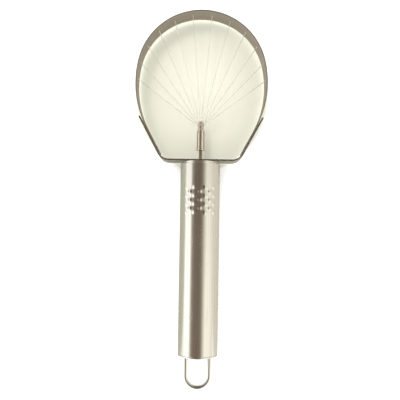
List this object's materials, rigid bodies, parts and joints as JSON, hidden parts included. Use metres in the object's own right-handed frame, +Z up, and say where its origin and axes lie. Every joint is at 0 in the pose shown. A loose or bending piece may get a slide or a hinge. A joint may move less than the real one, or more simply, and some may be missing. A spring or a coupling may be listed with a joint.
{
  "type": "egg slicer",
  "caption": "Hand-held egg slicer: round handle with a raised grip patch, forked yoke, hoop of steel strip strung with a fan of cutting wires, and a hinged hanging loop.",
  "frame": {"origin": "on the surface that the handle lies on, under the middle of the whole tool, with the wires' plane level", "axes": "+Y along the handle from the hanging loop to the hoop, +Z up out of the face with the grip patch, +X across the hoop"},
  "size_m": [0.0746, 0.2104, 0.0224],
  "materials": {
    "brushed_handle": "stainless steel brushed along the handle",
    "frame_strip": "rolled stainless strip, satin",
    "turned_post": "turned stainless steel",
    "plain_hardware": "plain machined steel",
    "wire_bead": "fused steel bead",
    "cutting_wire": "drawn stainless wire",
    "bright_loop": "polished round wire"
  },
  "bodies": {
    "slicer": {"handle_tube": "brushed_handle", "handle_end_cap": "brushed_handle", "handle_top_plug": "frame_strip", "yoke": "frame_strip", "hoop": "frame_strip", "anchor_stud": "turned_post", "post_sleeve": "turned_post", "lock_washer": "plain_hardware", "tension_nut": "plain_hardware", "wire_beads": "wire_bead", "cutting_wire_01": "cutting_wire", "cutting_wire_02": "cutting_wire", "cutting_wire_03": "cutting_wire", "cutting_wire_04": "cutting_wire", "cutting_wire_05": "cutting_wire", "cutting_wire_06": "cutting_wire", "cutting_wire_07": "cutting_wire", "cutting_wire_08": "cutting_wire", "cutting_wire_09": "cutting_wire", "cutting_wire_10": "cutting_wire", "cutting_wire_11": "cutting_wire", "cutting_wire_12": "cutting_wire"},
    "loop": {"hanging_loop": "bright_loop"}
  },
  "joints": [
    {"name": "loop_hinge", "type": "hinge", "parent": "slicer", "child": "loop", "pos_m": [0, -0.08298, 0.011], "axis": [1, 0, 0], "range_deg": [-25, 25]}
  ]
}
